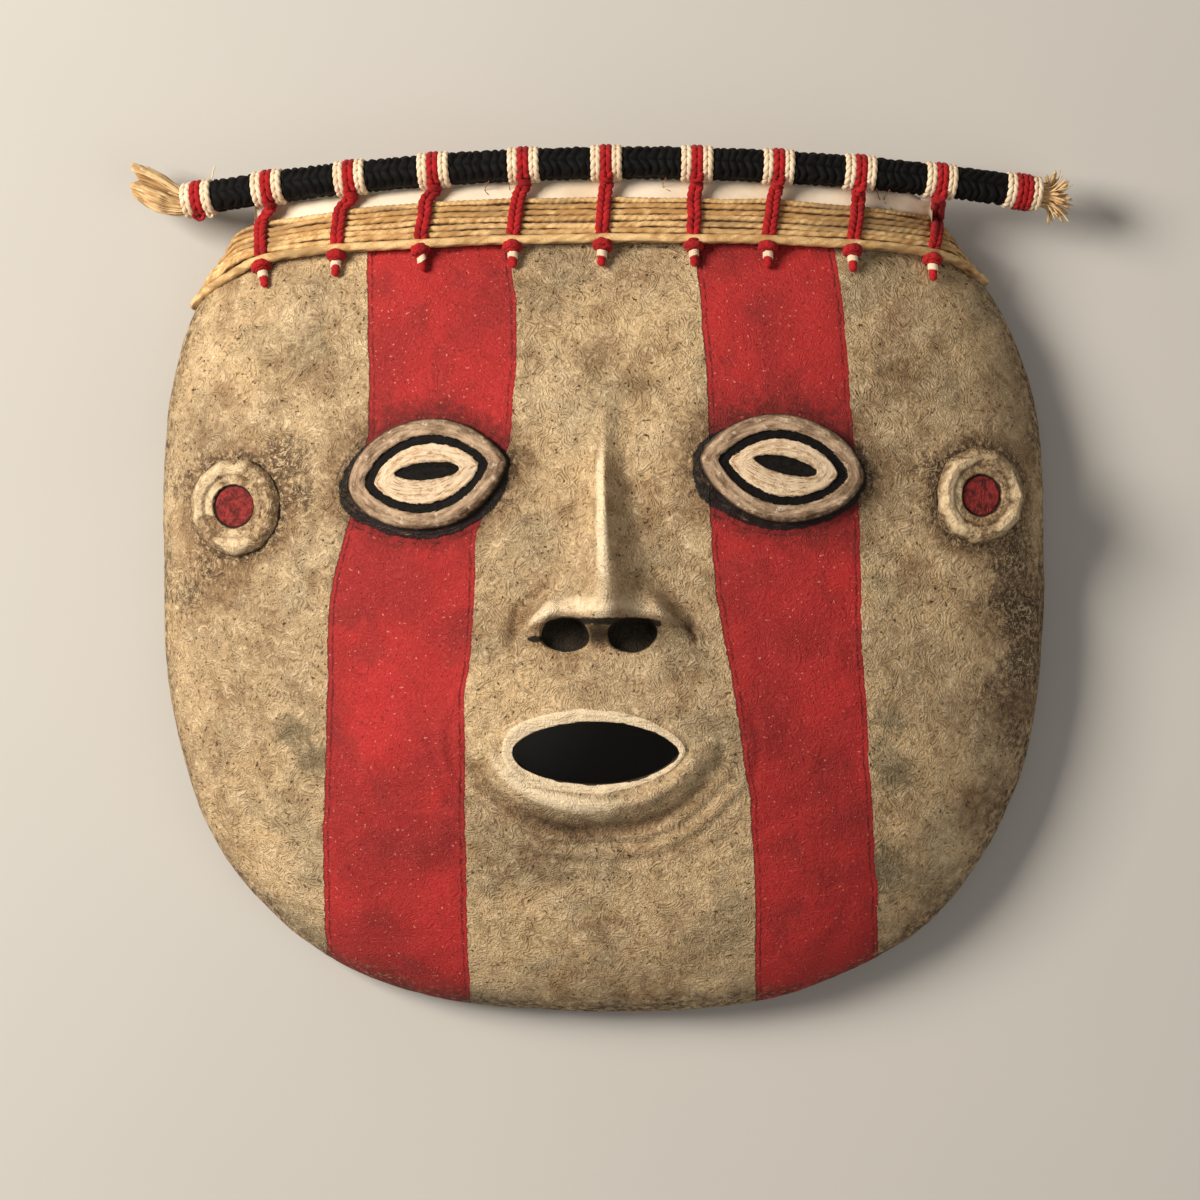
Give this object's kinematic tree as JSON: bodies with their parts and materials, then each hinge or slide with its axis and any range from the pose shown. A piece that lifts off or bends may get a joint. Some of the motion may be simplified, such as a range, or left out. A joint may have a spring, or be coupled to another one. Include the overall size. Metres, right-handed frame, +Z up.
{
  "type": "ceremonial face mask",
  "caption": "Broad domed face mask with an open mouth, lozenge eye plates, disc ears, red painted stripes, fibre cords over the forehead and a yarn-wrapped bar tied along its top edge.",
  "frame": {"origin": "on the ground under the middle of the mask's box, the mask lying on its back rim", "axes": "+Z up out of the face, +Y towards the forehead, +X to the right of someone facing the mask"},
  "size_m": [0.2829, 0.2571, 0.0795],
  "materials": {
    "face": "matt clay slip over moulded fibre, painted with red stripes",
    "eye_plates": "matt, painted cream and black",
    "ear_discs": "matt, painted red in the middle",
    "hide_strip": "smooth off-white",
    "plant_cord": "twisted plant fibre",
    "straw": "dry straw",
    "white_yarn": "wound yarn",
    "black_yarn": "plaited yarn",
    "red_yarn": "wound yarn"
  },
  "bodies": {
    "root": {"face_shell": "face", "eye_plate_left": "eye_plates", "eye_plate_right": "eye_plates", "ear_disc_left": "ear_discs", "ear_disc_right": "ear_discs", "white_strip": "hide_strip", "forehead_cord_1": "plant_cord", "forehead_cord_2": "plant_cord", "forehead_cord_3": "plant_cord", "forehead_cord_4": "plant_cord", "forehead_cord_5": "plant_cord", "forehead_cord_6": "plant_cord", "holding_cord": "plant_cord", "bar_core": "straw", "white_band_1": "white_yarn", "white_band_2": "white_yarn", "white_band_3": "white_yarn", "white_band_4": "white_yarn", "white_band_5": "white_yarn", "white_band_6": "white_yarn", "white_band_7": "white_yarn", "white_band_8": "white_yarn", "white_band_9": "white_yarn", "white_band_10": "white_yarn", "white_band_11": "white_yarn", "black_wrap_1": "black_yarn", "black_wrap_2": "black_yarn", "black_wrap_3": "black_yarn", "black_wrap_4": "black_yarn", "black_wrap_5": "black_yarn", "black_wrap_6": "black_yarn", "black_wrap_7": "black_yarn", "black_wrap_8": "black_yarn", "black_wrap_9": "black_yarn", "black_wrap_10": "black_yarn", "red_band_left": "red_yarn", "red_band_right": "red_yarn", "red_tie_1": "red_yarn", "red_tie_2": "red_yarn", "red_tie_3": "red_yarn", "red_tie_4": "red_yarn", "red_tie_5": "red_yarn", "red_tie_6": "red_yarn", "red_tie_7": "red_yarn", "red_tie_8": "red_yarn", "red_tie_9": "red_yarn"}
  },
  "joints": []
}
